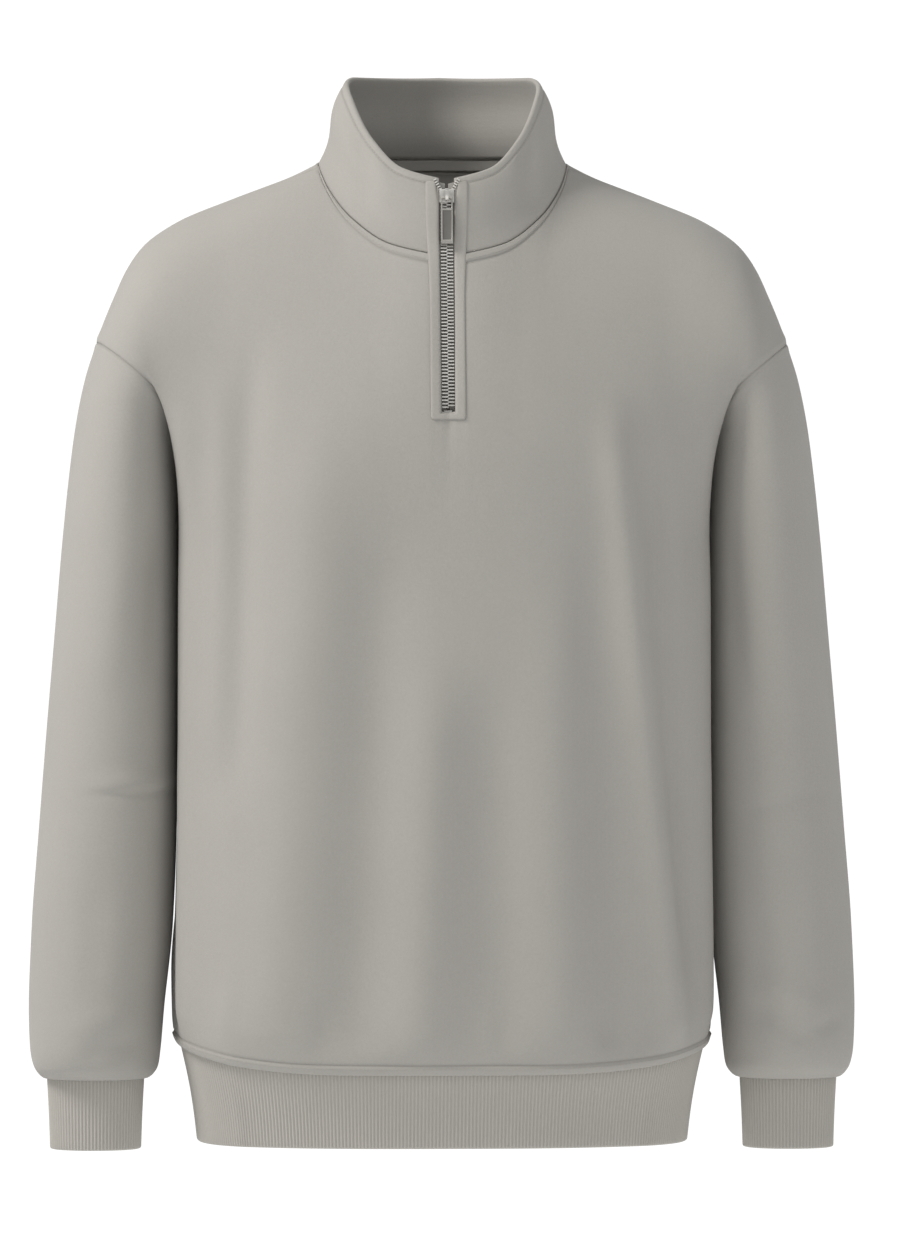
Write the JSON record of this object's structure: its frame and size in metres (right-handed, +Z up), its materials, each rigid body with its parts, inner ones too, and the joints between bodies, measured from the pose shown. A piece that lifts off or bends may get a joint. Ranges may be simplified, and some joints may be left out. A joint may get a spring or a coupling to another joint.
{
  "type": "half zip sweatshirt",
  "caption": "Long-sleeved sweatshirt filled out as worn, with a stand collar, a metal half zip, ribbed cuffs and a ribbed hem band.",
  "frame": {"origin": "middle of the neck opening at the height of the two high shoulder points, where the wearer's shoulders hold the garment up", "axes": "+Z up along the body, -Y towards the front with the zip, +X towards the viewer's right"},
  "size_m": [0.6008, 0.2649, 0.782],
  "materials": {
    "fleece_jersey": "matte knit",
    "rib_knit": "matte ribbed knit",
    "twill_tape": "matte twill",
    "nickel": "satin nickel"
  },
  "bodies": {
    "garment": {"front": "fleece_jersey", "back": "fleece_jersey", "sleeve_right": "fleece_jersey", "sleeve_left": "fleece_jersey", "collar_outer": "fleece_jersey", "collar_inner": "fleece_jersey", "zip_placket": "fleece_jersey", "hem_band": "rib_knit", "cuff_right": "rib_knit", "cuff_left": "rib_knit", "neck_tape": "twill_tape", "zip_tape_right": "twill_tape", "zip_tape_left": "twill_tape", "zip_chain": "nickel", "zip_bottom_stop": "nickel", "slider": "nickel"},
    "zip_pull": {"pull_tab": "nickel"}
  },
  "joints": [
    {"name": "pull_tab_hinge", "type": "hinge", "parent": "garment", "child": "zip_pull", "pos_m": [0, -0.10318, -0.02867], "axis": [-1, 0, 0], "range_deg": [0, 150]}
  ]
}
